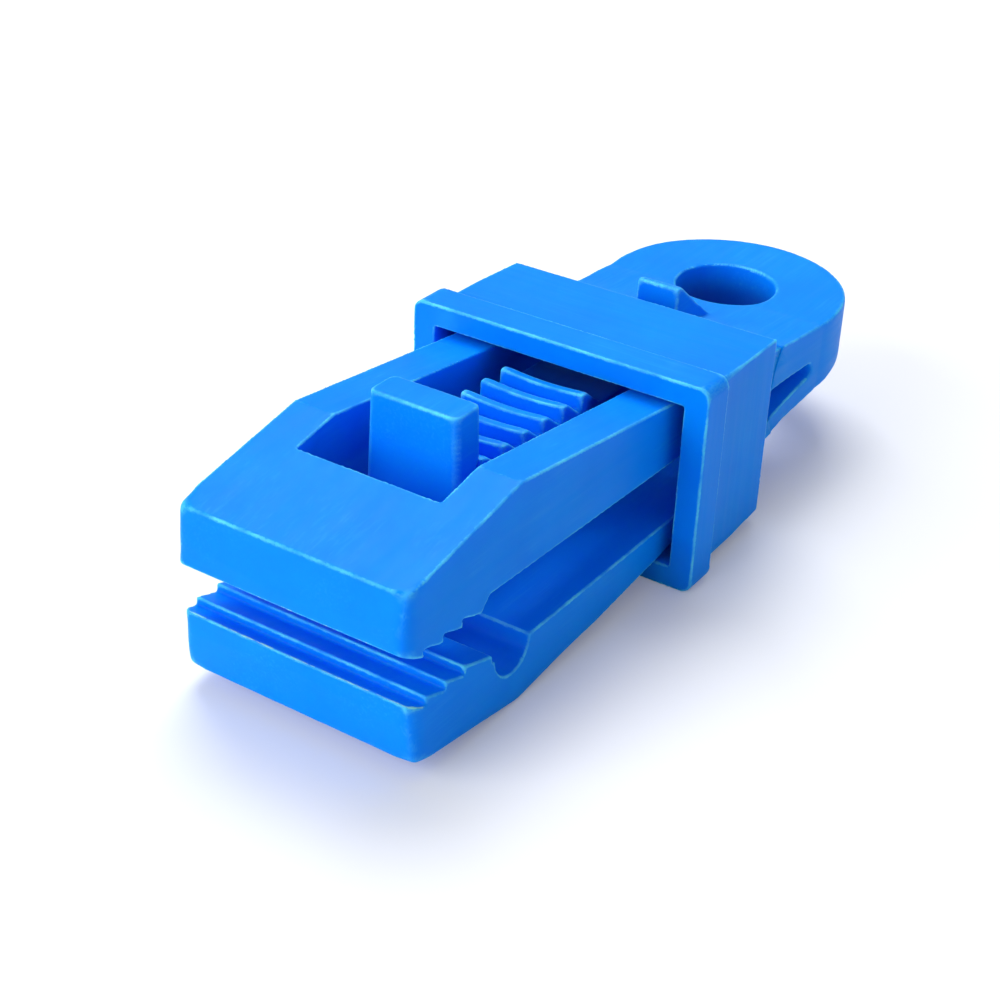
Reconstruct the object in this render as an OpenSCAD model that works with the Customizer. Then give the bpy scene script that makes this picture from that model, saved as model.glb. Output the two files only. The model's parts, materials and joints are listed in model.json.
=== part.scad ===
// Tarp clip: a moulded pair of toothed jaws on an eye ring, a ratchet tongue, and a sleeve that closes them

/* [Eye ring] */
// Diameter of the eye hole
eye_d = 10.4; // [8:0.1:12]
// Outer diameter of the ring
ring_d = 25; // [22:0.1:28]
// Height of the ring's top above the mid-plane, at the eye
ring_top = 4.1; // [3.7:0.05:4.6]
// Rise of the ring's top towards its back end, in degrees
ring_rise = 1.2; // [0:0.1:2]
// Depth of the ring's underside below the mid-plane, at its back end
ring_end_depth = 1.5; // [1:0.1:2.4]
// Depth of the ring's underside below the mid-plane, where the lower jaw begins
ring_neck_depth = 3.65; // [3:0.05:4.2]
// Distance from the eye's centre to the place where the lower jaw begins
ring_neck_d = 9.5; // [8.4:0.1:10.4]
// Radius of the ring's nose, about the flexing line
nose_r = 8; // [6.6:0.1:8.6]
// Distance by which the slot's flexing line lies inside the eye's front edge
flex_inset = 0.3; // [0.3:0.1:1]

/* [Jaws] */
// Distance from the eye's centre to the tip of the upper jaw
jaw_reach = 72.6; // [70:0.1:80]
// Width of the jaws at the eye, on the mid-plane
jaw_w = 24.8; // [22:0.1:28]
// Draft of the jaw sides, in degrees
side_draft = 1.8; // [0:0.1:3.5]
// Narrowing of the jaw sides towards the tips, in degrees
side_taper = 0.6; // [0:0.05:1]
// Radius of the upright corners at the jaw tips
tip_corner_r = 1.5; // [0.5:0.1:2.5]
// Height over both jaw backs at the sleeve's front
arm_h = 15.5; // [14:0.1:17]
// Slope of the jaw backs, in degrees
back_slope = 6.77; // [5.5:0.01:8]
// Distance from the eye's centre to the bend of the jaw backs
bend_d = 57; // [54:0.1:60]
// Height of the upper jaw's tip above the mid-plane
upper_tip_z = 7.45; // [6:0.05:9]
// Depth of the lower jaw's tip below the mid-plane
lower_tip_z = 8.6; // [7:0.05:10]
// Setback of the lower jaw's tip behind the upper one
lower_setback = 0.6; // [0:0.1:1.5]
// Height of the upper jaw's lower edge at its tip
upper_lip_z = 2.2; // [2.1:0.05:2.6]
// Height of the upper jaw's underside behind its teeth
upper_under_z = 2.25; // [1.9:0.05:2.8]
// Depth of the lower jaw's inner face below the mid-plane
lower_inner_z = 4.55; // [4.2:0.05:5]
// Distance from the eye's centre to the place where the lower jaw's inner face starts to climb
lower_climb_d = 25; // [22:0.1:30]
// Height of the slot between the jaws, at its closed end
slot_h = 1.5; // [1:0.1:1.8]

/* [Teeth] */
// Number of teeth on the upper jaw
tooth_count = 4; // [3:1:4]
// Pitch of the teeth
tooth_pitch = 2.55; // [2.2:0.05:2.65]
// Height of the teeth
tooth_h = 0.82; // [0.5:0.02:1]
// Height of the upper tooth crests above the mid-plane
upper_crest_z = 1.05; // [0.9:0.05:1.6]
// Depth of the lower tooth crests below the mid-plane
lower_crest_z = 2.65; // [2.5:0.05:3.2]
// Distance from the eye's centre to the rear crest of the upper teeth
bite_d = 62.5; // [61.6:0.1:63.2]
// Clearance between upper and lower tooth faces
tooth_gap = 0.25; // [0.15:0.05:0.5]
// Distance from the rear upper crest back to the hem groove
hem_set = 2; // [1.6:0.1:3]
// Width of the flat lip between the lower teeth and the hem groove
hem_lip = 0.4; // [0.2:0.1:0.8]
// Radius of the hem groove in the lower jaw
hem_r = 2.5; // [1.5:0.1:2.8]

/* [Thumb window] */
// Width of the window in the upper jaw
window_w = 14.4; // [12.4:0.1:16]
// Length of the room for a thumb between the tab and the window's front edge
thumb_room = 5.9; // [5:0.1:7]

/* [Release tongue] */
// Width of the tongue, its ribs and its thumb tab
tongue_w = 9; // [7:0.1:10.4]
// Thickness of the tongue under its ribs
tongue_t = 2; // [1.4:0.1:2.4]
// Distance from the rear stop to the tongue's flexing line
tongue_set = 3.7; // [2.4:0.1:5]
// Number of ratchet ribs
rib_count = 6; // [4:1:6]
// Pitch of the ratchet ribs
rib_pitch = 3.2; // [2.8:0.05:3.3]
// Height of the ratchet ribs
rib_h = 1.8; // [1.2:0.1:2]
// Flat land on the crest of each rib
rib_land = 0.9; // [0.5:0.05:1.2]
// Distance from the sleeve's front face to the crest of the rear rib, jaws open
rib_ahead = 1.4; // [1:0.1:1.8]
// Height of the rear rib's crest above the mid-plane
rib_z = 7.5; // [7:0.05:7.6]
// Rise of the row of ribs towards the tips, in degrees
rack_rise = 1.7; // [0:0.1:2]
// Gap between the front rib and the thumb tab
tab_gap = 0.9; // [0.4:0.1:1.4]
// Length of the thumb tab
tab_l = 2.9; // [2:0.1:3.6]
// Height of the thumb tab's top above the mid-plane
tab_z = 13.3; // [11.5:0.1:15]
// Draft of the thumb tab's sides, in degrees
tab_draft = 2; // [0:0.1:4]
// Radius of the thumb tab's upright edges
tab_edge_r = 0.7; // [0.3:0.1:1]

/* [Lock sleeve] */
// Distance from the eye's centre to the sleeve's front face, jaws open
sleeve_d = 34; // [33.4:0.1:34.2]
// Length of the sleeve
sleeve_l = 15.8; // [14:0.1:17]
// Thickness of the side walls
side_wall = 1.65; // [1.2:0.05:2.4]
// Thickness of the top and bottom walls
flat_wall = 1.45; // [1.2:0.05:2.4]
// Thickness of the flange along the sleeve
flange_t = 3.8; // [2.5:0.1:5]
// Step from the wall out to the flange
flange_step = 0.78; // [0.4:0.02:1.5]
// Narrowing of the sleeve towards its rear end, in degrees
sleeve_draft = 1.8; // [0:0.1:2.2]
// Radius of the sleeve's long outer edges
sleeve_edge_r = 1.1; // [0.5:0.1:1.2]
// Play between the jaw sides and the sleeve
side_play = 1; // [0.7:0.1:1.6]
// Play between the jaw backs and the sleeve, jaws open
slide_play = 0.5; // [0.45:0.05:0.8]
// Depth of the catch below the sleeve's roof
catch_drop = 0.3; // [0.1:0.05:0.4]
// Thickness of the catch along the sleeve
catch_t = 1; // [0.6:0.1:1.1]
// Distance of the catch behind the sleeve's front face
catch_set = 0.6; // [0.4:0.1:0.8]
// Overlap of the catch past each side of the tongue
catch_side = 0.5; // [0.3:0.1:0.8]
// Height of the pocket above the sleeve's roof, behind the catch
pocket_h = 0.35; // [0.2:0.05:0.4]

/* [Rear stop] */
// Travel of the sleeve from rest back to the stop
stop_travel = 2.9; // [2.4:0.1:4]
// Width of the stop
stop_w = 4.7; // [3:0.1:7]
// Height of the stop's crest above the mid-plane
stop_z = 9.8; // [9:0.1:11]
// Slope of the stop's back, in degrees
stop_slope = 39; // [36:1:50]

/* [Fits] */
// Clearance round the flexing lines
flex_gap = 0.2; // [0.1:0.05:0.3]
// Clearance between the tongue's root and the jaw's rails
rail_gap = 0.3; // [0.2:0.05:0.6]

/* [Hidden] */
$fn = 96;
eye_r = eye_d / 2;
ring_r = ring_d / 2;
arm_half = arm_h / 2;
// The flexing line of both jaws runs through the closed end of the slot, just inside the eye's edge
flex_d = eye_r - flex_inset;
slot_r = slot_h / 2;
neck_half = jaw_w / 2 - (flex_d + nose_r) * tan(side_taper);
// Long enough to reach past the part on any side
reach = 2 * jaw_reach;
stop_front_d = sleeve_d - sleeve_l - stop_travel;
tongue_d = stop_front_d + tongue_set;
rib_d = sleeve_d + rib_ahead;
rib_run = rib_pitch - rib_land;
tab_back_d = rib_d + (rib_count - 1) * rib_pitch + rib_land + tab_gap;
tab_front_d = tab_back_d + tab_l;
window_d = tab_front_d + thumb_room;
tongue_root_z = rib_crest(tongue_d) - rib_h - tongue_t / 2;
root_w = window_w - 2 * rail_gap;
hole_half_w = jaw_w / 2 + side_play;
hole_half_h = arm_half + slide_play;
lower_reach = jaw_reach - lower_setback;
tip_tooth_d = bite_d + (tooth_count - 0.5) * tooth_pitch;
hem_d = bite_d - hem_set - hem_r;
ring_step_d = (ring_top - back_height(0)) / (tan(back_slope) + tan(ring_rise));

// Height of the upper jaw's back at a distance from the eye
function back_height(d) = arm_half + (d - sleeve_d) * tan(back_slope);
// Height of the upper jaw's underside at a distance from the eye
function under_height(d) = slot_r + (upper_under_z - slot_r) * (d - flex_d) / (bite_d - flex_d);
// Depth of the lower jaw's inner face, on its climb to the slot
function climb_depth(d) = slot_r + (lower_inner_z - slot_r) * (d - flex_d) / (lower_climb_d - flex_d);
// Depth of the lower jaw's back between the sleeve's front and the ring
function neck_depth(d) =
    ring_neck_depth + (arm_half - ring_neck_depth) * (d - ring_neck_d) / (sleeve_d - ring_neck_d);
// Height of the row of rib crests at a distance from the eye
function rib_crest(d) = rib_z + (d - rib_d) * tan(rack_rise);

// Side outline drawn in length and height, given a width across the part
module across(width) {
    rotate([90, 0, 90])
        linear_extrude(width, center = true)
            children();
}

// Rectangle with rounded corners, about its centre
module rounded_box(half_w, half_h, r) {
    square([2 * half_w - 2 * r, 2 * half_h], center = true);
    square([2 * half_w, 2 * half_h - 2 * r], center = true);
    for (x = [-1, 1], y = [-1, 1])
        translate([x * (half_w - r), y * (half_h - r)])
            circle(r);
}

// Space between the two drafted jaw sides, rounded at the tip corners
module side_limits(tip_d) {
    intersection_for (side = [0, 1])
        mirror([side, 0, 0])
            translate([jaw_w / 2, 0, 0])
                rotate([0, -side_draft, -side_taper])
                    linear_extrude(reach, center = true) {
                        translate([-reach, -tip_d + tip_corner_r])
                            square([reach, reach]);
                        translate([-reach, -tip_d])
                            square([reach - tip_corner_r, reach]);
                        translate([-tip_corner_r, -tip_d + tip_corner_r])
                            circle(tip_corner_r);
                    }
}

// Round seat that keeps a jaw's rear end clear of the ring's nose
module nose_seat() {
    across(reach)
        translate([-flex_d, 0])
            circle(nose_r + flex_gap);
}

module slot_outline() {
    translate([-flex_d, 0])
        circle(slot_r);
    polygon([
        [-flex_d, slot_r],
        [-lower_climb_d, under_height(lower_climb_d)],
        [-lower_climb_d, -climb_depth(lower_climb_d)],
        [-flex_d, -slot_r]
    ]);
}

module ring_side_outline() {
    difference() {
        intersection() {
            polygon([
                [-lower_climb_d, back_height(lower_climb_d)],
                [-ring_step_d, back_height(ring_step_d)],
                [ring_r, ring_top + ring_r * tan(ring_rise)],
                [ring_r, -ring_end_depth],
                [-ring_neck_d, -ring_neck_depth],
                [-lower_climb_d, -neck_depth(lower_climb_d)]
            ]);
            union() {
                translate([-flex_d, 0])
                    circle(nose_r);
                translate([-flex_d, -nose_r])
                    square([reach, 2 * nose_r]);
            }
        }
        slot_outline();
    }
}

// Block between the rails that carries the tongue's root in a round cradle
module tongue_seat() {
    inner_d = flex_d + nose_r / 2;
    across(root_w)
        difference() {
            polygon([
                [-inner_d, under_height(inner_d)],
                [-inner_d, back_height(inner_d)],
                [-tongue_d, back_height(tongue_d)],
                [-tongue_d, under_height(tongue_d)]
            ]);
            translate([-tongue_d, tongue_root_z])
                circle(tongue_t / 2 + flex_gap);
        }
}

module rear_stop() {
    crest_d = stop_front_d - rib_land;
    foot_z = ring_top - slot_r;
    across(stop_w)
        polygon([
            [-stop_front_d, foot_z],
            [-stop_front_d, stop_z],
            [-crest_d, stop_z],
            [-crest_d + (stop_z - foot_z) / tan(stop_slope), foot_z]
        ]);
}

module eye_ring() {
    color("dodgerblue")
        difference() {
            union() {
                intersection() {
                    across(reach)
                        ring_side_outline();
                    linear_extrude(reach, center = true) {
                        circle(ring_r);
                        translate([-neck_half, -reach])
                            square([2 * neck_half, reach]);
                    }
                }
                tongue_seat();
                rear_stop();
            }
            translate([0, 0, -reach / 2])
                cylinder(r = eye_r, h = reach);
        }
}

// Upper tooth row from the tip to the rear: each tooth drops to its crest and has an upright rear face
function upper_teeth() = [
    for (i = [tooth_count - 1 : -1 : 0])
        let (d = bite_d + i * tooth_pitch)
            for (p = [
                [-d - tooth_pitch, upper_crest_z + tooth_h],
                [-d, upper_crest_z]
            ]) if (p[0] > -tip_tooth_d) p
];

module upper_jaw() {
    color("dodgerblue")
        difference() {
            intersection() {
                across(reach)
                    polygon(concat(
                        [
                            [-flex_d, under_height(flex_d)],
                            [-flex_d, back_height(flex_d)],
                            [-bend_d, back_height(bend_d)],
                            [-jaw_reach + lower_setback, upper_tip_z],
                            [-jaw_reach, upper_lip_z]
                        ],
                        upper_teeth(),
                        [[-bite_d + upper_under_z - upper_crest_z, under_height(bite_d)]]
                    ));
                side_limits(jaw_reach);
            }
            nose_seat();
            translate([-window_w / 2, -window_d, -reach / 2])
                cube([window_w, reach, reach]);
        }
}

// Lower tooth row from the tip to the rear: each tooth has an upright front face and falls to the rear
function lower_teeth() = [
    for (i = [tooth_count - 1 : -1 : 1])
        let (d = bite_d + i * tooth_pitch - tooth_gap)
            for (p = [
                [-d, -lower_crest_z - tooth_h],
                [-d, -lower_crest_z]
            ]) p
];

module lower_jaw() {
    land_d = hem_d + hem_r + hem_lip;
    color("dodgerblue")
        difference() {
            intersection() {
                across(reach)
                    polygon(concat(
                        [
                            [-flex_d, -neck_depth(flex_d)],
                            [-sleeve_d, -arm_half],
                            [-bend_d, -back_height(bend_d)],
                            [-lower_reach + lower_setback, -lower_tip_z],
                            [-lower_reach, -lower_crest_z]
                        ],
                        lower_teeth(),
                        [
                            [-land_d, -lower_crest_z - 1.4 * tooth_h],
                            [-land_d, -lower_inner_z],
                            [-lower_climb_d, -lower_inner_z],
                            [-flex_d, -slot_r]
                        ]
                    ));
                side_limits(lower_reach);
            }
            nose_seat();
            across(reach)
                translate([-hem_d, -lower_inner_z])
                    circle(hem_r);
        }
}

module rack_outline() {
    polygon(concat(
        [
            [-tongue_d, rib_crest(tongue_d) - rib_h - tongue_t],
            [-tongue_d, rib_crest(tongue_d) - rib_h]
        ],
        [
            for (i = [0 : rib_count - 1])
                let (d = rib_d + i * rib_pitch)
                    for (p = [
                        [-d + rib_run, rib_crest(d - rib_run) - rib_h],
                        [-d, rib_crest(d)],
                        [-d - rib_land, rib_crest(d + rib_land)],
                        [-d - rib_land, rib_crest(d + rib_land) - rib_h]
                    ]) p
        ],
        [
            [-tab_back_d - tab_edge_r, rib_crest(tab_back_d + tab_edge_r) - rib_h],
            [-tab_back_d - tab_edge_r, rib_crest(tab_back_d + tab_edge_r) - rib_h - tongue_t]
        ]
    ));
    translate([-tongue_d, tongue_root_z])
        circle(tongue_t / 2);
}

// Upright tab, a little wider at its foot than at its top
module thumb_tab() {
    tab_foot_z = rib_crest(tab_front_d) - rib_h - tongue_t;
    intersection() {
        for (side = [0, 1])
            mirror([side, 0, 0])
                translate([0, -(tab_back_d + tab_front_d) / 2, tab_z])
                    rotate([0, tab_draft, 0])
                        linear_extrude(2 * tab_z, center = true)
                            rounded_box(tongue_w / 2, tab_l / 2, tab_edge_r);
        translate([-reach / 2, -reach, tab_foot_z])
            cube([reach, reach, tab_z - tab_foot_z]);
    }
}

module release_tongue() {
    color("dodgerblue") {
        across(tongue_w)
            rack_outline();
        thumb_tab();
    }
}

// Outside of the sleeve: a drafted box with a flange round its front end
module sleeve_outside() {
    half_w = hole_half_w + side_wall;
    half_h = hole_half_h + flat_wall;
    drop = sleeve_l * tan(sleeve_draft);
    rear_y = sleeve_l - sleeve_d;
    intersection() {
        translate([0, -sleeve_d, 0])
            rotate([-90, 0, 0])
                linear_extrude(sleeve_l)
                    rounded_box(half_w, half_h, sleeve_edge_r);
        linear_extrude(reach, center = true)
            polygon([
                [-half_w, -sleeve_d],
                [half_w, -sleeve_d],
                [half_w - drop, rear_y],
                [drop - half_w, rear_y]
            ]);
        across(reach)
            polygon([
                [-sleeve_d, -half_h],
                [-sleeve_d, half_h],
                [rear_y, half_h - drop],
                [rear_y, drop - half_h]
            ]);
    }
    translate([0, -sleeve_d, 0])
        rotate([-90, 0, 0])
            linear_extrude(flange_t)
                rounded_box(half_w + flange_step, half_h + flange_step, sleeve_edge_r);
}

module lock_sleeve() {
    catch_w = tongue_w + 2 * catch_side;
    catch_back_d = sleeve_d - catch_set - catch_t;
    color("royalblue")
        difference() {
            sleeve_outside();
            difference() {
                translate([-hole_half_w, -reach, -hole_half_h])
                    cube([2 * hole_half_w, 2 * reach, 2 * hole_half_h]);
                translate([-catch_w / 2, -sleeve_d + catch_set, hole_half_h - catch_drop])
                    cube([catch_w, catch_t, catch_drop + pocket_h]);
            }
            translate([-catch_w / 2, -catch_back_d, 0])
                cube([catch_w, reach, hole_half_h + pocket_h]);
        }
}

eye_ring();
upper_jaw();
lower_jaw();
release_tongue();
lock_sleeve();
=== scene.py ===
import json
import math

import bmesh
import bpy
import numpy as np
from mathutils import Euler, Matrix, Vector


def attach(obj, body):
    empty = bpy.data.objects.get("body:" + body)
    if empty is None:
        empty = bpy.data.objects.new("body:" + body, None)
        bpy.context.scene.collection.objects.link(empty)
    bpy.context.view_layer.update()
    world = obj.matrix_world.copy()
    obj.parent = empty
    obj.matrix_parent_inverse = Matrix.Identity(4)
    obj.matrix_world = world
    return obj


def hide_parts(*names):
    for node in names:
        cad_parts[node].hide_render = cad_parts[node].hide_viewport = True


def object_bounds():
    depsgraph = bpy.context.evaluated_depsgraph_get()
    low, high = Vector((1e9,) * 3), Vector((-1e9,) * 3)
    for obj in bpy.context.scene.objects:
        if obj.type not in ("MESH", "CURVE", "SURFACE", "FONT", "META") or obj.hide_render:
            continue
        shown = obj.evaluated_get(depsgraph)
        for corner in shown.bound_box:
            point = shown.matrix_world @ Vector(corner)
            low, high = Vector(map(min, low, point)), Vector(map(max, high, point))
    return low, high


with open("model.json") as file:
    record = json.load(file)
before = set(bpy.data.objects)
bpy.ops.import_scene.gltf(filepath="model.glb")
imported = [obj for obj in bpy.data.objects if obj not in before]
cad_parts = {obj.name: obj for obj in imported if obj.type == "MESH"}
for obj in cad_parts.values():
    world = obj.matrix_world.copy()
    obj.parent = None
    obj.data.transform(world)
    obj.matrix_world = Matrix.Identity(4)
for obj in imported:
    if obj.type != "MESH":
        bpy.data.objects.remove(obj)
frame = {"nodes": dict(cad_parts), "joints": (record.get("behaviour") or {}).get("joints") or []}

bl_info = {
    "name": "Tarp Clip",
    "version": (1, 0, 0),
    "blender": (4, 5, 0),
    "location": "View3D > Sidebar > Tarp Clip",
    "description": "Builds the looks of a moulded tarp clip round its solid sections",
    "category": "Object",
}

MM = 0.001
CAD_BOX = [list(corner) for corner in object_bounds()]


def zone(start, end):
    """Stretch over which a touch comes in, from nothing at start to full at end, both in millimetres."""
    return start * MM, end * MM


# Grid on which edges are rounded: coarser by COARSE in quick tries, and tilted so that slanted
# faces get no steps. PULL is the share of the way that a point moves in one smoothing pass.
GRID_TILT = Euler((0.41, 0.53, 0.67)).to_matrix().to_4x4()
PULL = 0.5
SHARP_ANGLE = math.radians(50)
FLASH_ANGLE = math.radians(30)
# Point attribute from which the finish paints a highlight on outer edges and shade in creases and
# recesses
PAINTED_LIGHT_AND_SHADE = "painted_edge_light_and_shade"
TINY = 1e-9

# Tolerances for finding points of the solids
MERGE = 0.002 * MM
ON_SEAT = 0.1 * MM
ON_NOSE = 0.02 * MM
ON_SIDE = 0.01 * MM

# Seam between ring and jaws. SEAM_AHEAD is measured from the jaws' flexing line.
SEAM_REACH = zone(0.5, 0.15)
SEAM_AHEAD = zone(-4.0, -5.0)
RAIL_REACH = zone(0.4, 0.15)
RAIL_REAR = zone(-20.5, -19.5)
RAIL_ONSET = 0.5 * MM

# Eye ring. RING_BACK and STOP_AHEAD are measured from the jaws' flexing line.
RING_BACK = zone(-4.5, 3.0)
STOP_AHEAD = zone(-2.0, -4.0)
STOP_Z = zone(6.0, 6.6)
RING_FRONT_Y = zone(-10.0, -3.0)
RING_REAR_Y = zone(0.0, 12.0)
RING_TOP_Z = zone(2.0, 4.0)
CROWN_FALL = 0.5
FLARE_END_Y = zone(2.0, -3.0)
FLARE_X = zone(11.0, 12.0)
# Painted shade laid on the walls of the eye hole, with its strength
HOLE_RADIUS = zone(5.6, 5.4)
HOLE_Z = zone(4.2, 0.5)
HOLE_PAINTED_SHADE = 0.8

# Jaws. The lower jaw's bottom falls by BOTTOM_FALL behind its tip; BASE_HEIGHT is measured from it.
TIP_Y = zone(-69.4, -70.8)
TIP_X = zone(9.8, 10.8)
UPPER_TIP_Z = zone(2.2, 3.2)
LOWER_TIP_Z = zone(-3.2, -4.2)
TIP_BOTTOM = -8.6 * MM
BOTTOM_FALL = 1.9 * MM
BOTTOM_Y = zone(-71.0, -57.0)
BASE_HEIGHT = zone(1.6, 0.9)
BASE_Y = zone(-16.0, -20.0)
# Painted shade laid on the walls of the thumb window, deeper below its top, with its strength
WINDOW_X = zone(7.5, 7.3)
WINDOW_Y = zone(-62.3, -62.1)
WINDOW_Z = zone(9.5, 4.0)
WINDOW_PAINTED_SHADE = 0.75

# Release tongue, with its thumb tab and its rack of ribs
TAB_Y = zone(-52.9, -53.1)
TAB_Z = zone(8.0, 9.0)
TAB_BACK_Y = zone(-55.2, -53.4)
TAB_BACK_END_Y = zone(-52.6, -52.7)
TAB_BACK_Z = zone(7.4, 8.6)
RACK_START_Y = zone(-52.0, -51.5)
RACK_END_Y = zone(-33.5, -34.0)
RIB_END_X = zone(3.4, 4.2)
RIB_CREST_Z = zone(5.4, 7.0)
RIB_HALF = 4.5 * MM
# Painted shade laid on the tongue just under the sleeve's front edge, low down, with its strength
MOUTH_START_Y = zone(-36.0, -34.5)
MOUTH_END_Y = zone(-25.0, -30.0)
TONGUE_LOW_Z = zone(7.0, 6.2)
MOUTH_PAINTED_SHADE = 0.92

# Painted shade on the inside of the lock sleeve
SLEEVE_X = zone(13.7, 13.5)
SLEEVE_Z = zone(8.9, 8.7)
SLEEVE_MOUTH_Y = zone(-33.8, -31.5)
SLEEVE_BACK_Y = zone(-18.4, -20.0)
SLEEVE_PAINTED_SHADE = 0.9

# Directions of the fine streaks: a small number draws the pattern out along that axis
EVEN = (1.0, 1.0, 1.0)
ALONG_JAWS = (1.0, 0.035, 1.0)
ROUND_SLEEVE = (0.035, 1.0, 0.035)

# Stage, in metres, with the lights placed from the clip's middle
FLOOR_HALF = 3.0
KEY_PLACE = Vector((-0.27, 0.30, 0.71))
KEY_SIZE = 0.5
FILL_PLACE = Vector((-0.35, -0.72, 0.32))
FILL_SIZE = 0.7
SENSOR_WIDTH = 36.0
WHITE = (1.0, 1.0, 1.0, 1.0)


class TarpClipMoulding(bpy.types.PropertyGroup):
    """Edges, seams and flash of the moulded pieces"""

    cell: bpy.props.FloatProperty(
        name="Cell", description="Size of the grid on which the edges are rounded",
        default=0.12 * MM, min=0.05 * MM, unit="LENGTH", subtype="DISTANCE", precision=5)
    edge_rounds: bpy.props.IntProperty(
        name="Edge Rounding", description="Smoothing passes over every edge", default=5, min=0, max=40)
    ring_rounds: bpy.props.IntProperty(
        name="Ring Rounding", description="Further passes over the eye ring's edges",
        default=26, min=0, max=200)
    ring_crown: bpy.props.FloatProperty(
        name="Ring Crown", description="Height by which the middle of the eye ring's top is filled out",
        default=0.4 * MM, min=0.0, unit="LENGTH", subtype="DISTANCE", precision=5)
    ring_flare: bpy.props.FloatProperty(
        name="Ring Flare", description="Width by which the ring is filled out where it leaves the neck",
        default=0.25 * MM, min=0.0, unit="LENGTH", subtype="DISTANCE", precision=5)
    base_rounds: bpy.props.IntProperty(
        name="Base Rounding", description="Further passes over the lower jaw's bottom edges",
        default=60, min=0, max=200)
    thumb_rounds: bpy.props.IntProperty(
        name="Thumb Tab Rounding", description="Further passes over the thumb tab's edges",
        default=8, min=0, max=200)
    tab_swell: bpy.props.FloatProperty(
        name="Tab Swell", description="Thickness added to the back of the thumb tab",
        default=0.7 * MM, min=0.0, unit="LENGTH", subtype="DISTANCE", precision=5)
    corner_rounds: bpy.props.IntProperty(
        name="Corner Rounding", description="Further passes over the front corners of the jaws",
        default=60, min=0, max=200)
    rib_rounds: bpy.props.IntProperty(
        name="Rib Rounding", description="Further passes over the ends of the ribs",
        default=26, min=0, max=200)
    rib_sag: bpy.props.FloatProperty(
        name="Rib Sag", description="Sag of each rib's crest at the middle of its width",
        default=0.3 * MM, min=0.0, unit="LENGTH", subtype="DISTANCE", precision=5)
    seam_lap: bpy.props.FloatProperty(
        name="Seam Lap", description="Lap by which the flexing sections meet without a gap",
        default=0.05 * MM, min=0.0, unit="LENGTH", subtype="DISTANCE", precision=5)
    faces: bpy.props.IntProperty(
        name="Faces", description="Triangles kept on each piece", default=60000, min=5000, max=180000)
    flash: bpy.props.FloatProperty(
        name="Flash", description="Thickness of the flash left along the mould's parting lines",
        default=0.065 * MM, min=0.0, unit="LENGTH", subtype="DISTANCE", precision=5)


class TarpClipFinish(bpy.types.PropertyGroup):
    """Colours and surface of the plastic, with the painted edge highlight and recess shade"""

    base_color: bpy.props.FloatVectorProperty(
        name="Plastic", description="Main colour of the plastic", subtype="COLOR", size=3,
        default=(0.0, 0.25, 0.97), min=0.0, max=1.0)
    deep_color: bpy.props.FloatVectorProperty(
        name="Mottle Tone", description="Darker tone mottled into the plastic", subtype="COLOR", size=3,
        default=(0.0, 0.218, 0.91), min=0.0, max=1.0)
    # Recess tone: painted shade, the dark colour laid in creases and on the deep slots, holes and the
    # sleeve's inside by where they lie
    recess_shade_color: bpy.props.FloatVectorProperty(
        name="Recess Tone", description="Tone of the plastic deep in slots and holes",
        subtype="COLOR", size=3, default=(0.0, 0.03, 0.32), min=0.0, max=1.0)
    # Edge tone: a painted highlight, the pale colour laid on outer edges
    edge_highlight_color: bpy.props.FloatVectorProperty(
        name="Edge Tone", description="Tone of the thin edges that light shines through",
        subtype="COLOR", size=3, default=(0.12, 0.68, 1.0), min=0.0, max=1.0)
    scuff_color: bpy.props.FloatVectorProperty(
        name="Scuff Tone", description="Tone of fine scuffs", subtype="COLOR", size=3,
        default=(0.03, 0.40, 0.97), min=0.0, max=1.0)
    flash_color: bpy.props.FloatVectorProperty(
        name="Flash Tone", description="Tone of the moulding flash", subtype="COLOR", size=3,
        default=(0.30, 0.70, 1.0), min=0.0, max=1.0)
    roughness: bpy.props.FloatProperty(
        name="Roughness", description="Mean roughness of the surface",
        default=0.42, min=0.0, max=1.0, subtype="FACTOR")
    gloss: bpy.props.FloatProperty(
        name="Gloss", description="Strength of the surface reflection",
        default=0.05, min=0.0, max=1.0, subtype="FACTOR")
    translucency: bpy.props.FloatProperty(
        name="Translucency", description="Share of light spread inside the plastic",
        default=0.5, min=0.0, max=1.0, subtype="FACTOR")


class TarpClipStage(bpy.types.PropertyGroup):
    """Camera, floor and lights"""

    camera_place: bpy.props.FloatVectorProperty(
        name="Camera Place", description="Position of the camera",
        size=3, subtype="TRANSLATION", unit="LENGTH",
        default=(79.048 * MM, -165.954 * MM, 83.598 * MM))
    azimuth: bpy.props.FloatProperty(
        name="Azimuth", description="Turn of the camera round the clip", default=math.radians(32.572),
        subtype="ANGLE", unit="ROTATION")
    elevation: bpy.props.FloatProperty(
        name="Elevation", description="Height angle of the camera", default=math.radians(30.275),
        subtype="ANGLE", unit="ROTATION")
    roll: bpy.props.FloatProperty(
        name="Roll", description="Roll of the camera about its view", default=math.radians(2.42),
        subtype="ANGLE", unit="ROTATION")
    lens: bpy.props.FloatProperty(
        name="Lens", description="Focal length on a 36 mm sensor, in millimetres",
        default=67.694, min=1.0)
    floor_color: bpy.props.FloatVectorProperty(
        name="Floor", description="Colour of the floor",
        subtype="COLOR", size=3, default=(0.80, 0.82, 0.85), min=0.0, max=1.0)
    floor_lift: bpy.props.FloatProperty(
        name="Floor Lift", description="Light added to the floor as the camera sees it",
        default=0.12, min=0.0, max=1.0)
    sky: bpy.props.FloatProperty(
        name="Room Light", description="Strength of the even light from all round", default=0.43, min=0.0)
    key: bpy.props.FloatProperty(
        name="Key Light", description="Power of the soft light above and behind",
        default=4.9, min=0.0, unit="POWER")
    fill: bpy.props.FloatProperty(
        name="Fill Light", description="Power of the soft light in front",
        default=6.4, min=0.0, unit="POWER")


# Finish of the plastic

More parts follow.
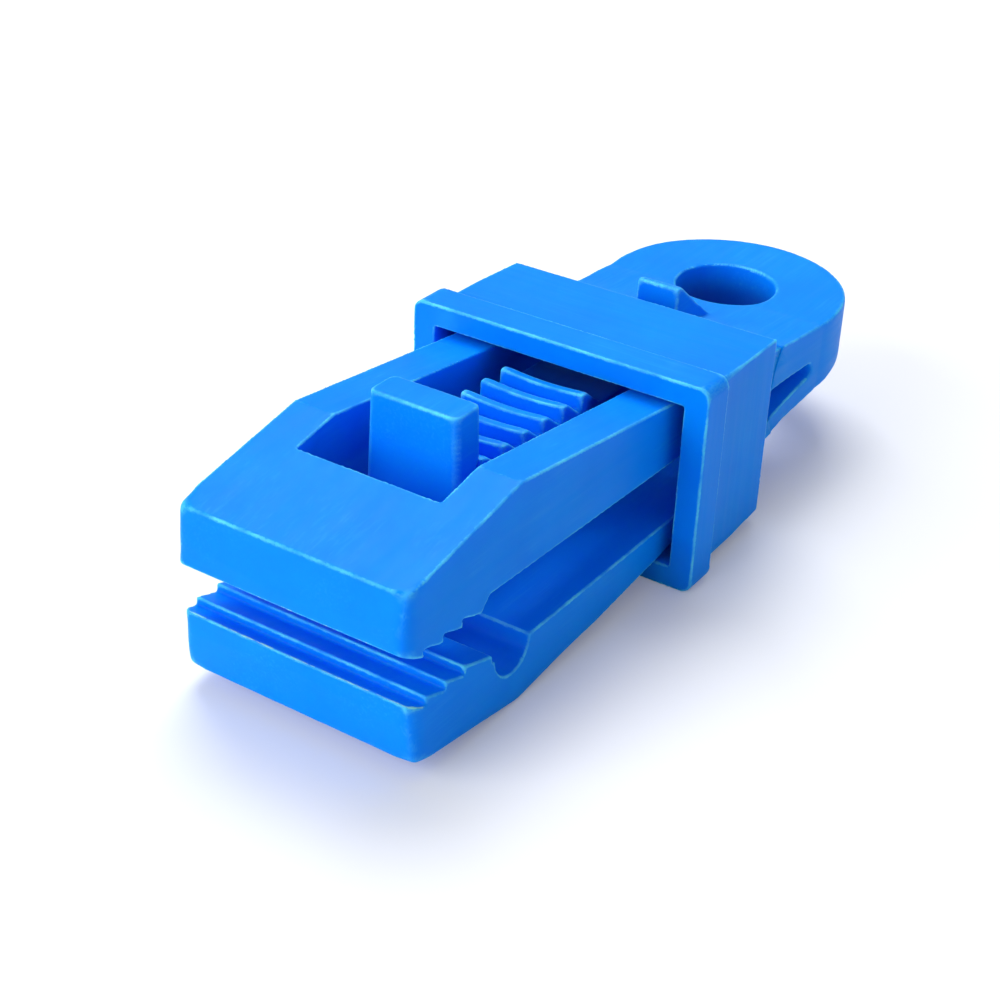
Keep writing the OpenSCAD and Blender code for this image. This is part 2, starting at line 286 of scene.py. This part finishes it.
def new_material(name):
    """A material with nothing but its shader and output."""
    material = bpy.data.materials.new(name)
    material.use_nodes = True
    tree = material.node_tree
    tree.nodes.clear()
    output = tree.nodes.new("ShaderNodeOutputMaterial")
    shader = tree.nodes.new("ShaderNodeBsdfPrincipled")
    tree.links.new(shader.outputs["BSDF"], output.inputs["Surface"])
    return material, tree, shader


def noise_texture(tree, coords, stretch, scale, detail):
    """Noise on object coordinates, drawn out along the axes with small numbers."""
    mapping = tree.nodes.new("ShaderNodeMapping")
    mapping.inputs["Scale"].default_value = stretch
    tree.links.new(coords.outputs["Object"], mapping.inputs["Vector"])
    noise = tree.nodes.new("ShaderNodeTexNoise")
    noise.inputs["Scale"].default_value = scale
    noise.inputs["Detail"].default_value = detail
    tree.links.new(mapping.outputs["Vector"], noise.inputs["Vector"])
    return noise.outputs["Fac"]


def remap(tree, value, source, target):
    """Socket that carries the source range over to the target range."""
    node = tree.nodes.new("ShaderNodeMapRange")
    node.inputs["From Min"].default_value, node.inputs["From Max"].default_value = source
    node.inputs["To Min"].default_value, node.inputs["To Max"].default_value = target
    tree.links.new(value, node.inputs["Value"])
    return node.outputs["Result"]


def blend_colors(tree, first, second, factor):
    """Colour socket between two colours, each a socket or plain numbers."""
    mix = tree.nodes.new("ShaderNodeMix")
    mix.data_type = "RGBA"
    for socket, color in ((mix.inputs[6], first), (mix.inputs[7], second)):
        if isinstance(color, bpy.types.NodeSocket):
            tree.links.new(color, socket)
        else:
            socket.default_value = (*color, 1.0)
    tree.links.new(factor, mix.inputs[0])
    return mix.outputs[2]


def product(tree, first, second):
    """Socket with the product of two others."""
    node = tree.nodes.new("ShaderNodeMath")
    node.operation = "MULTIPLY"
    tree.links.new(first, node.inputs[0])
    tree.links.new(second, node.inputs[1])
    return node.outputs["Value"]


def bump(tree, height, strength, distance, normal=None):
    """Normal socket raised by a height, on top of another normal if there is one."""
    node = tree.nodes.new("ShaderNodeBump")
    node.inputs["Strength"].default_value = strength
    node.inputs["Distance"].default_value = distance
    tree.links.new(height, node.inputs["Height"])
    if normal is not None:
        tree.links.new(normal, node.inputs["Normal"])
    return node.outputs["Normal"]


def plastic_material(name, light, dark, finish, streak):
    """Satin moulded plastic: mottled colour, a painted highlight on outer edges, painted shade in creases
    and recesses, drawn streaks, scuffs and a fine grain.
    """
    material, tree, shader = new_material(name)
    coords = tree.nodes.new("ShaderNodeTexCoord")
    full = (0.0, 1.0)

    def noise(scale, detail, stretch=EVEN):
        return noise_texture(tree, coords, stretch, scale, detail)

    mottle = remap(tree, noise(scale=110.0, detail=3.0), (0.3, 0.7), full)
    color = blend_colors(tree, dark, light, mottle)
    scratches = remap(tree, noise(scale=3500.0, detail=2.0, stretch=streak), (0.5, 0.8), full)
    patches = remap(tree, noise(scale=170.0, detail=2.0), (0.45, 0.7), (0.03, 0.35))
    color = blend_colors(tree, color, finish.scuff_color, product(tree, scratches, patches))
    edge = tree.nodes.new("ShaderNodeAttribute")
    edge.attribute_name = PAINTED_LIGHT_AND_SHADE
    # Painted shade: where the point attribute falls below nothing (creases, and the recesses set by
    # position) the colour goes towards the recess tone
    recess = remap(tree, edge.outputs["Fac"], (0.0, -1.0), full)
    color = blend_colors(tree, color, finish.recess_shade_color, recess)
    # Painted highlight: where the point attribute rises above nothing on outer edges, the colour goes
    # unevenly towards the edge tone
    thin = remap(tree, edge.outputs["Fac"], (0.02, 0.075), full)
    uneven = remap(tree, noise(scale=420.0, detail=3.0), (0.35, 0.65), (0.15, 0.8))
    color = blend_colors(tree, color, finish.edge_highlight_color, product(tree, thin, uneven))
    tree.links.new(color, shader.inputs["Base Color"])
    streaks = noise(scale=900.0, detail=4.0, stretch=streak)
    polish = remap(tree, streaks, (0.3, 0.7), (finish.roughness - 0.07, finish.roughness + 0.09))
    tree.links.new(polish, shader.inputs["Roughness"])
    normal = bump(tree, noise(scale=5200.0, detail=3.0), strength=0.12, distance=0.02 * MM)
    normal = bump(tree, streaks, strength=0.25, distance=0.03 * MM, normal=normal)
    normal = bump(tree, noise(scale=240.0, detail=1.0), strength=0.25, distance=0.12 * MM, normal=normal)
    tree.links.new(normal, shader.inputs["Normal"])
    for socket, value in (
            ("IOR", 1.49), ("Specular IOR Level", finish.gloss),
            ("Subsurface Weight", finish.translucency), ("Subsurface Radius", (0.05, 0.25, 1.0)),
            ("Subsurface Scale", 2.5 * MM), ("Coat Weight", 0.02), ("Coat Roughness", 0.18)):
        shader.inputs[socket].default_value = value
    return material


# Moulded pieces

def cad_mesh(node):
    """Merged copy of a section's mesh."""
    mesh = bmesh.new()
    mesh.from_mesh(frame["nodes"][node].data)
    bmesh.ops.remove_doubles(mesh, verts=mesh.verts, dist=MERGE)
    return mesh


def joint_place(name):
    """A point on a joint's line."""
    return Vector(next(j for j in frame["joints"] if j["name"] == name)["pos_m"])


def flex_seat():
    """The jaws' flexing line, and the radius and inner half width of the seat that they turn on."""
    line = joint_place("upper_jaw_flex")
    jaw = [v.co for v in frame["nodes"]["upper_jaw"].data.vertices]
    reach = [math.hypot(co.y - line.y, co.z - line.z) for co in jaw]
    radius = min(reach)
    rail = min(abs(co.x) for co, far in zip(jaw, reach) if far < radius + ON_SEAT)
    return line, radius, rail


def close_seams(mesh, lap):
    """Grows the ring's nose and the tongue's seat until they meet the jaws without a gap."""
    line, seat_radius, rail = flex_seat()

    def reach(co):
        return math.hypot(co.y - line.y, co.z - line.z)

    ahead = [v for v in mesh.verts if v.co.y < line.y - seat_radius / 2]
    seat_half = max(abs(v.co.x) for v in ahead if v.co.y < line.y - seat_radius)
    nose_radius = max(reach(v.co) for v in ahead if abs(v.co.x) > rail)
    spread = (seat_radius + lap) / nose_radius
    for vert in ahead:
        if abs(reach(vert.co) - nose_radius) < ON_NOSE:
            vert.co.y = line.y + (vert.co.y - line.y) * spread
            vert.co.z = line.z + (vert.co.z - line.z) * spread
        if abs(abs(vert.co.x) - seat_half) < ON_SIDE:
            vert.co.x = math.copysign(rail + lap, vert.co.x)


def off_seam(place):
    """Weight that keeps the rounding off the seam between ring and jaws."""
    line, radius, rail = flex_seat()
    x, y, z = place.T
    reach = np.hypot(y - line.y, z - line.z)
    seam = fade(np.abs(reach - radius), *SEAM_REACH) * fade(y, *moved(SEAM_AHEAD, line.y))
    side = fade(np.abs(np.abs(x) - rail), *RAIL_REACH)
    side *= fade(y, line.y - radius + RAIL_ONSET, line.y - radius) * fade(y, *RAIL_REAR)
    return 1.0 - np.maximum(seam, side)


def plain_mesh(obj):
    """Turns what the modifiers make into the object's own mesh."""
    bpy.context.view_layer.update()
    graph = bpy.context.evaluated_depsgraph_get()
    done = bpy.data.meshes.new_from_object(
        obj.evaluated_get(graph), preserve_all_data_layers=True, depsgraph=graph)
    raw = obj.data
    obj.modifiers.clear()
    obj.data = done
    done.name = obj.name
    bpy.data.meshes.remove(raw)


def numbers(items, name, width, kind):
    """Array of one property of a mesh's points or edges."""
    values = np.empty(len(items) * width, kind)
    items.foreach_get(name, values)
    return values.reshape(-1, width)


class Smoother:
    """Evens out the points of a mesh, each by its own weight. Columns taken from place stay current."""

    def __init__(self, mesh):
        self.mesh = mesh
        self.place = numbers(mesh.vertices, "co", 3, np.float32).astype(np.float64)
        ends = numbers(mesh.edges, "vertices", 2, np.int32)
        self.first = np.concatenate((ends[:, 0], ends[:, 1]))
        self.second = np.concatenate((ends[:, 1], ends[:, 0]))
        self.links = np.bincount(self.first, minlength=len(self.place)).clip(1)

    def run(self, weight, rounds):
        """Moves each point towards the mean of its neighbours."""
        count = len(self.place)
        for _ in range(rounds):
            for axis in range(3):
                total = np.bincount(self.first, self.place[self.second, axis], count)
                self.place[:, axis] += PULL * weight * (total / self.links - self.place[:, axis])

    def store(self):
        """Writes the points back to the mesh."""
        self.mesh.vertices.foreach_set("co", self.place.astype(np.float32).ravel())
        self.mesh.update()


def fade(values, start, end):
    """From 0 at start to 1 at end, smoothly."""
    part = ((values - start) / (end - start)).clip(0.0, 1.0)
    return part * part * (3.0 - 2.0 * part)


def moved(stretch, origin):
    """A zone that was measured from an origin."""
    return origin + stretch[0], origin + stretch[1]


def soften(mesh, name, moulding, shape, tint):
    """Object with every edge of the mesh rounded as moulded plastic is, shape's own touches, and a
    painted highlight on outer edges and painted shade in creases and recesses as tint sets it.
    """
    raw = bpy.data.meshes.new(name + "_raw")
    mesh.to_mesh(raw)
    mesh.free()
    obj = bpy.data.objects.new(name, raw)
    bpy.context.scene.collection.objects.link(obj)
    grid = obj.modifiers.new("grid", "REMESH")
    grid.mode = "VOXEL"
    grid.voxel_size = moulding.cell * 1.0
    raw.transform(GRID_TILT)
    plain_mesh(obj)
    obj.data.transform(GRID_TILT.inverted())
    smoother = Smoother(obj.data)
    shape(smoother)
    smoother.store()
    thin = obj.modifiers.new("thinning", "DECIMATE")
    thin.ratio = min(1.0, moulding.faces / (2.0 * len(obj.data.polygons)))
    plain_mesh(obj)
    obj.data.shade_smooth()
    obj.data.set_sharp_from_angle(angle=SHARP_ANGLE)
    even = obj.modifiers.new("shading", "WEIGHTED_NORMAL")
    even.weight = 80
    even.keep_sharp = True
    plain_mesh(obj)
    painted_edge_light_and_shade(obj.data, tint)
    return obj


def painted_edge_light_and_shade(mesh, tint):
    """Stores how far each point stands on an outer edge (above nothing) or in a crease (below nothing),
    with the painted recess shade that tint subtracts, for the finish to paint as a highlight on edges and
    as shade in creases and recesses.
    """
    place = numbers(mesh.vertices, "co", 3, np.float32)
    normal = numbers(mesh.vertices, "normal", 3, np.float32)
    ends = numbers(mesh.edges, "vertices", 2, np.int32)
    along = place[ends[:, 1]] - place[ends[:, 0]]
    along /= np.linalg.norm(along, axis=1, keepdims=True).clip(TINY)
    fall = np.concatenate((
        -(normal[ends[:, 0]] * along).sum(1), (normal[ends[:, 1]] * along).sum(1)))
    points = np.concatenate((ends[:, 0], ends[:, 1]))
    tone = np.bincount(points, fall, len(place)) / np.bincount(points, minlength=len(place)).clip(1)
    layer = mesh.attributes.new(PAINTED_LIGHT_AND_SHADE, "FLOAT", "POINT")
    layer.data.foreach_set("value", tint(place, tone).astype(np.float32))


def dress(obj, node, material):
    """Gives a look its finish and lets it stand in for its section."""
    obj.data.materials.clear()
    obj.data.materials.append(material)
    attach(obj, node)
    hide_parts(node)


class TARPCLIP_OT_body_sections(bpy.types.Operator):
    """Build the ring, both jaws and the tongue of the jaw moulding"""

    bl_idname = "tarpclip.body_sections"
    bl_label = "Jaw Moulding"
    bl_options = {"REGISTER", "UNDO"}

    def execute(self, context):
        moulding = context.scene.tarp_clip_moulding
        finish = context.scene.tarp_clip_finish
        material = plastic_material(
            "body_plastic_surface", finish.base_color, finish.deep_color, finish, ALONG_JAWS)
        line = joint_place("upper_jaw_flex")

        def front_corner(x, y):
            return fade(y, *TIP_Y) * fade(np.abs(x), *TIP_X)

        def shape_ring(smoother):
            smoother.run(off_seam(smoother.place), moulding.edge_rounds)
            x, y, z = smoother.place.T
            behind = fade(y, *moved(RING_BACK, line.y))
            stop = fade(z, *STOP_Z) * fade(y, *moved(STOP_AHEAD, line.y))
            smoother.run(np.maximum(behind, stop), moulding.ring_rounds)
            crown = fade(y, *RING_FRONT_Y) * (1.0 - CROWN_FALL * fade(y, *RING_REAR_Y))
            smoother.place[:, 2] += moulding.ring_crown * crown * fade(z, *RING_TOP_Z)
            flare = fade(y, *RING_FRONT_Y) * fade(y, *FLARE_END_Y) * fade(np.abs(x), *FLARE_X)
            smoother.place[:, 0] += moulding.ring_flare * flare * np.sign(x)

        def shape_upper(smoother):
            smoother.run(off_seam(smoother.place), moulding.edge_rounds)
            x, y, z = smoother.place.T
            smoother.run(front_corner(x, y) * fade(z, *UPPER_TIP_Z), moulding.corner_rounds)

        def shape_lower(smoother):
            smoother.run(off_seam(smoother.place), moulding.edge_rounds)
            x, y, z = smoother.place.T
            bottom = TIP_BOTTOM - BOTTOM_FALL * fade(y, *BOTTOM_Y)
            low = fade(z, *moved(BASE_HEIGHT, bottom)) * fade(y, *BASE_Y)
            smoother.run(low, moulding.base_rounds)
            smoother.run(front_corner(x, y) * fade(z, *LOWER_TIP_Z), moulding.corner_rounds)

        def shape_tongue(smoother):
            smoother.run(1.0, moulding.edge_rounds)
            x, y, z = smoother.place.T
            smoother.run(fade(y, *TAB_Y) * fade(z, *TAB_Z), moulding.thumb_rounds)
            back = fade(y, *TAB_BACK_Y) * fade(y, *TAB_BACK_END_Y) * fade(z, *TAB_BACK_Z)
            smoother.place[:, 1] += moulding.tab_swell * back
            rack = fade(y, *RACK_START_Y) * fade(y, *RACK_END_Y)
            smoother.run(rack * fade(np.abs(x), *RIB_END_X), moulding.rib_rounds)
            dip = (1.0 - (x / RIB_HALF) ** 2).clip(0.0)
            smoother.place[:, 2] -= moulding.rib_sag * rack * fade(z, *RIB_CREST_Z) * dip

        def ring_painted_shade(place, tone):
            x, y, z = place.T
            # Painted shade on the walls of the eye hole; the edge highlight and shade are kept off the
            # seam
            hole = fade(np.hypot(x, y), *HOLE_RADIUS) * fade(z, *HOLE_Z)
            return tone * off_seam(place) - HOLE_PAINTED_SHADE * hole

        def upper_painted_shade(place, tone):
            x, y, z = place.T
            # Painted shade on the thumb window's walls, deeper below its top; the edge highlight and
            # shade are kept off the seam
            window = fade(np.abs(x), *WINDOW_X) * fade(y, *WINDOW_Y) * fade(z, *WINDOW_Z)
            return tone * off_seam(place) - WINDOW_PAINTED_SHADE * window

        def lower_painted_light(place, tone):
            # The painted edge highlight and crease shade are kept off the seam
            return tone * off_seam(place)

        def tongue_painted_shade(place, tone):
            _, y, z = place.T
            # Painted shade on the tongue just under the sleeve's front edge
            mouth = fade(y, *MOUTH_START_Y) * fade(y, *MOUTH_END_Y)
            return tone - MOUTH_PAINTED_SHADE * mouth * fade(z, *TONGUE_LOW_Z)

        for node, shape, tint in (
                ("eye_ring", shape_ring, ring_painted_shade), ("upper_jaw", shape_upper, upper_painted_shade),
                ("lower_jaw", shape_lower, lower_painted_light), ("release_tongue", shape_tongue, tongue_painted_shade)):
            mesh = cad_mesh(node)
            if node == "eye_ring":
                close_seams(mesh, moulding.seam_lap)
            piece = soften(mesh, node + "_look", moulding, shape, tint)
            dress(piece, node, material)
        return {"FINISHED"}


class TARPCLIP_OT_lock_sleeve(bpy.types.Operator):
    """Build the sliding sleeve"""

    bl_idname = "tarpclip.lock_sleeve"
    bl_label = "Lock Sleeve"
    bl_options = {"REGISTER", "UNDO"}

    def execute(self, context):
        moulding = context.scene.tarp_clip_moulding
        finish = context.scene.tarp_clip_finish
        material = plastic_material(
            "sleeve_plastic_surface", finish.base_color, finish.deep_color, finish, ROUND_SLEEVE)

        def shape_sleeve(smoother):
            smoother.run(1.0, moulding.edge_rounds)

        def sleeve_painted_shade(place, tone):
            x, y, z = place.T
            # Painted shade on the inside of the sleeve, between its mouth and its back
            inside = fade(np.abs(x), *SLEEVE_X) * fade(np.abs(z), *SLEEVE_Z)
            return tone - SLEEVE_PAINTED_SHADE * inside * fade(y, *SLEEVE_MOUTH_Y) * fade(y, *SLEEVE_BACK_Y)

        mesh = cad_mesh("lock_sleeve")
        piece = soften(mesh, "lock_sleeve_look", moulding, shape_sleeve, sleeve_painted_shade)
        dress(piece, "lock_sleeve", material)
        return {"FINISHED"}


# Flash along the parting lines

def flash_tree():
    """Node tree that turns a run of edges into an uneven bead."""
    tree = bpy.data.node_groups.new("flash_bead", "GeometryNodeTree")
    tree.is_modifier = True
    face = tree.interface
    face.new_socket("Geometry", in_out="INPUT", socket_type="NodeSocketGeometry")
    for label, value in (
            ("Step", 0.25 * MM), ("Thickness", 0.05 * MM), ("Waver", 0.1 * MM), ("Seed", 0.0)):
        face.new_socket(label, in_out="INPUT", socket_type="NodeSocketFloat").default_value = value
    face.new_socket("Material", in_out="INPUT", socket_type="NodeSocketMaterial")
    face.new_socket("Geometry", in_out="OUTPUT", socket_type="NodeSocketGeometry")
    new, link = tree.nodes.new, tree.links.new
    given = new("NodeGroupInput")
    result = new("NodeGroupOutput")
    curve = new("GeometryNodeMeshToCurve")
    link(given.outputs["Geometry"], curve.inputs["Mesh"])
    fine = new("GeometryNodeResampleCurve")
    fine.mode = "LENGTH"
    link(curve.outputs["Curve"], fine.inputs["Curve"])
    link(given.outputs["Step"], fine.inputs["Length"])
    place = new("GeometryNodeInputPosition")
    shift = new("ShaderNodeVectorMath")
    link(place.outputs["Position"], shift.inputs[0])
    link(given.outputs["Seed"], shift.inputs[1])
    noise = new("ShaderNodeTexNoise")
    noise.inputs["Scale"].default_value = 1500.0
    noise.inputs["Detail"].default_value = 2.0
    link(shift.outputs["Vector"], noise.inputs["Vector"])
    middle = new("ShaderNodeVectorMath")
    middle.operation = "SUBTRACT"
    middle.inputs[1].default_value = (0.5, 0.5, 0.5)
    link(noise.outputs["Color"], middle.inputs[0])
    waver = new("ShaderNodeVectorMath")
    waver.operation = "SCALE"
    link(middle.outputs["Vector"], waver.inputs[0])
    link(given.outputs["Waver"], waver.inputs["Scale"])
    move = new("GeometryNodeSetPosition")
    link(fine.outputs["Curve"], move.inputs["Geometry"])
    link(waver.outputs["Vector"], move.inputs["Offset"])
    swell = new("ShaderNodeMapRange")
    swell.inputs["From Min"].default_value = 0.35
    swell.inputs["From Max"].default_value = 0.7
    swell.inputs["To Min"].default_value = 0.25
    swell.inputs["To Max"].default_value = 1.6
    link(noise.outputs["Fac"], swell.inputs["Value"])
    thick = new("ShaderNodeMath")
    thick.operation = "MULTIPLY"
    link(swell.outputs["Result"], thick.inputs[0])
    link(given.outputs["Thickness"], thick.inputs[1])
    ring = new("GeometryNodeCurvePrimitiveCircle")
    ring.inputs["Resolution"].default_value = 6
    ring.inputs["Radius"].default_value = 1.0
    tube = new("GeometryNodeCurveToMesh")
    tube.inputs["Fill Caps"].default_value = True
    link(move.outputs["Geometry"], tube.inputs["Curve"])
    link(thick.outputs["Value"], tube.inputs["Scale"])
    link(ring.outputs["Curve"], tube.inputs["Profile Curve"])
    smooth = new("GeometryNodeSetShadeSmooth")
    link(tube.outputs["Mesh"], smooth.inputs["Geometry"])
    real = new("GeometryNodeRealizeInstances")
    link(smooth.outputs["Geometry"], real.inputs["Geometry"])
    paint = new("GeometryNodeSetMaterial")
    link(real.outputs["Geometry"], paint.inputs["Geometry"])
    link(given.outputs["Material"], paint.inputs["Material"])
    link(paint.outputs["Geometry"], result.inputs["Geometry"])
    return tree


def sharp_run(node, low, high):
    """Points on a section's sharp edges inside a box in millimetres, from left to right."""
    mesh = cad_mesh(node)
    points = set()
    for edge in mesh.edges:
        if edge.calc_face_angle(0.0) > FLASH_ANGLE:
            if all(low[i] * MM <= v.co[i] <= high[i] * MM for v in edge.verts for i in range(3)):
                points.update(tuple(v.co) for v in edge.verts)
    mesh.free()
    return sorted(points)


class TARPCLIP_OT_flash_lines(bpy.types.Operator):
    """Lay the thin uneven flash along the mouth's and the thumb tab's edges"""

    bl_idname = "tarpclip.flash_lines"
    bl_label = "Flash Lines"
    bl_options = {"REGISTER", "UNDO"}

    def execute(self, context):
        moulding = context.scene.tarp_clip_moulding
        finish = context.scene.tarp_clip_finish
        material = plastic_material(
            "plastic_flash", finish.flash_color, finish.edge_highlight_color, finish, EVEN)
        tree = flash_tree()
        sockets = {
            item.name: item.identifier for item in tree.interface.items_tree if item.in_out == "INPUT"}
        # Name, section, the two corners of a box round its edge, inset from that edge, all in
        # millimetres, then the share of the full thickness and the seed
        runs = (
            ("upper_lip_flash", "upper_jaw",
             (-11.3, -72.6, 1.9), (11.3, -71.8, 2.2), (0.0, 0.09, 0.09), 0.8, 1.0),
            ("lower_lip_flash", "lower_jaw",
             (-11.4, -72.0, -2.95), (11.4, -71.4, -2.6), (0.0, 0.1, -0.1), 0.8, 2.0),
            ("lower_corner_flash", "lower_jaw",
             (6.0, -72.0, -3.3), (11.9, -70.4, -2.6), (-0.05, 0.1, -0.1), 1.3, 3.0),
            ("thumb_tab_flash", "release_tongue",
             (-4.0, -56.2, 13.2), (4.0, -56.0, 13.4), (0.0, 0.16, -0.16), 0.8, 4.0),
        )
        for name, node, low, high, inset, weight, seed in runs:
            run = sharp_run(node, low, high)
            points = [tuple(c + i * MM for c, i in zip(point, inset)) for point in run]
            if len(points) < 2:
                raise RuntimeError("no edge found for " + name)
            data = bpy.data.meshes.new(name)
            data.from_pydata(points, [(i, i + 1) for i in range(len(points) - 1)], [])
            obj = bpy.data.objects.new(name, data)
            context.scene.collection.objects.link(obj)
            bead = obj.modifiers.new("bead", "NODES")
            bead.node_group = tree
            bead[sockets["Thickness"]] = moulding.flash * weight
            bead[sockets["Seed"]] = seed
            bead[sockets["Material"]] = material
            plain_mesh(obj)
            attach(obj, node)
        return {"FINISHED"}


# Stage

def area_light(name, place, target, size, power):
    """A square soft light turned towards its target."""
    data = bpy.data.lights.new(name, "AREA")
    data.shape = "SQUARE"
    data.size = size
    data.energy = power
    lamp = bpy.data.objects.new(name, data)
    lamp.location = place
    lamp.rotation_euler = (Vector(target) - Vector(place)).to_track_quat("-Z", "Y").to_euler()
    bpy.context.scene.collection.objects.link(lamp)


def floor_material(stage):
    """White paper that shows the clip's shadow."""
    material, tree, shader = new_material("floor_paper")
    shader.inputs["Base Color"].default_value = (*stage.floor_color, 1.0)
    shader.inputs["Roughness"].default_value = 0.85
    shader.inputs["Specular IOR Level"].default_value = 0.1
    coords = tree.nodes.new("ShaderNodeTexCoord")
    grain = noise_texture(tree, coords, EVEN, scale=1500.0, detail=2.0)
    rough = bump(tree, grain, strength=0.05, distance=0.05 * MM)
    tree.links.new(rough, shader.inputs["Normal"])
    path = tree.nodes.new("ShaderNodeLightPath")
    lift = tree.nodes.new("ShaderNodeMath")
    lift.operation = "MULTIPLY"
    lift.inputs[1].default_value = stage.floor_lift
    tree.links.new(path.outputs["Is Camera Ray"], lift.inputs[0])
    tree.links.new(lift.outputs["Value"], shader.inputs["Emission Strength"])
    shader.inputs["Emission Color"].default_value = WHITE
    return material


class TARPCLIP_OT_stage(bpy.types.Operator):
    """Set up the floor, the lights and the camera"""

    bl_idname = "tarpclip.stage"
    bl_label = "Stage"
    bl_options = {"REGISTER", "UNDO"}

    def execute(self, context):
        scene = context.scene
        stage = scene.tarp_clip_stage
        low, high = (Vector(corner) for corner in CAD_BOX)
        middle = (low + high) / 2
        signs = ((-1, -1), (1, -1), (1, 1), (-1, 1))
        corners = [(x * FLOOR_HALF, y * FLOOR_HALF, low.z) for x, y in signs]
        data = bpy.data.meshes.new("floor")
        data.from_pydata(corners, [], [(0, 1, 2, 3)])
        data.materials.append(floor_material(stage))
        floor = bpy.data.objects.new("floor", data)
        scene.collection.objects.link(floor)
        world = scene.world or bpy.data.worlds.new("room")
        scene.world = world
        world.use_nodes = True
        sky = world.node_tree.nodes["Background"]
        sky.inputs["Color"].default_value = WHITE
        sky.inputs["Strength"].default_value = stage.sky
        area_light("key_softbox", middle + KEY_PLACE, middle, KEY_SIZE, stage.key)
        area_light("fill_softbox", middle + FILL_PLACE, middle, FILL_SIZE, stage.fill)
        lens = bpy.data.cameras.new("camera")
        lens.sensor_width = SENSOR_WIDTH
        lens.sensor_fit = "HORIZONTAL"
        lens.lens = stage.lens
        lens.clip_start = 0.005
        lens.clip_end = 20.0
        camera = bpy.data.objects.new("camera", lens)
        scene.collection.objects.link(camera)
        az, el, roll = stage.azimuth, stage.elevation, stage.roll
        back = Vector((math.sin(az) * math.cos(el), -math.cos(az) * math.cos(el), math.sin(el)))
        right = Vector((math.cos(az), math.sin(az), 0.0))
        up = back.cross(right)
        side = math.cos(roll) * right + math.sin(roll) * up
        top = math.cos(roll) * up - math.sin(roll) * right
        turn = Matrix((side, top, back)).transposed()
        camera.matrix_world = Matrix.Translation(stage.camera_place) @ turn.to_4x4()
        scene.camera = camera
        scene.view_settings.view_transform = "Standard"
        return {"FINISHED"}


class TARPCLIP_PT_panel(bpy.types.Panel):
    """Sidebar panel of the clip's settings and builders"""

    bl_idname = "TARPCLIP_PT_panel"
    bl_label = "Tarp Clip"
    bl_space_type = "VIEW_3D"
    bl_region_type = "UI"
    bl_category = "Tarp Clip"

    def draw(self, context):
        scene = context.scene
        for heading, group, builders in (
                ("Moulding", scene.tarp_clip_moulding,
                 ("tarpclip.body_sections", "tarpclip.lock_sleeve", "tarpclip.flash_lines")),
                ("Finish", scene.tarp_clip_finish, ()),
                ("Stage", scene.tarp_clip_stage, ("tarpclip.stage",))):
            box = self.layout.box()
            box.label(text=heading)
            for name in type(group).__annotations__:
                box.prop(group, name)
            for builder in builders:
                box.operator(builder)


CLASSES = (
    TarpClipMoulding, TarpClipFinish, TarpClipStage,
    TARPCLIP_OT_body_sections, TARPCLIP_OT_lock_sleeve, TARPCLIP_OT_flash_lines, TARPCLIP_OT_stage,
    TARPCLIP_PT_panel,
)


def register():
    for cls in CLASSES:
        bpy.utils.register_class(cls)
    bpy.types.Scene.tarp_clip_moulding = bpy.props.PointerProperty(type=TarpClipMoulding)
    bpy.types.Scene.tarp_clip_finish = bpy.props.PointerProperty(type=TarpClipFinish)
    bpy.types.Scene.tarp_clip_stage = bpy.props.PointerProperty(type=TarpClipStage)


def unregister():
    del bpy.types.Scene.tarp_clip_stage
    del bpy.types.Scene.tarp_clip_finish
    del bpy.types.Scene.tarp_clip_moulding
    for cls in reversed(CLASSES):
        bpy.utils.unregister_class(cls)


def main():
    register()
    bpy.ops.tarpclip.body_sections()
    bpy.ops.tarpclip.lock_sleeve()
    bpy.ops.tarpclip.flash_lines()
    bpy.ops.tarpclip.stage()


if __name__ == "__main__":
    main()
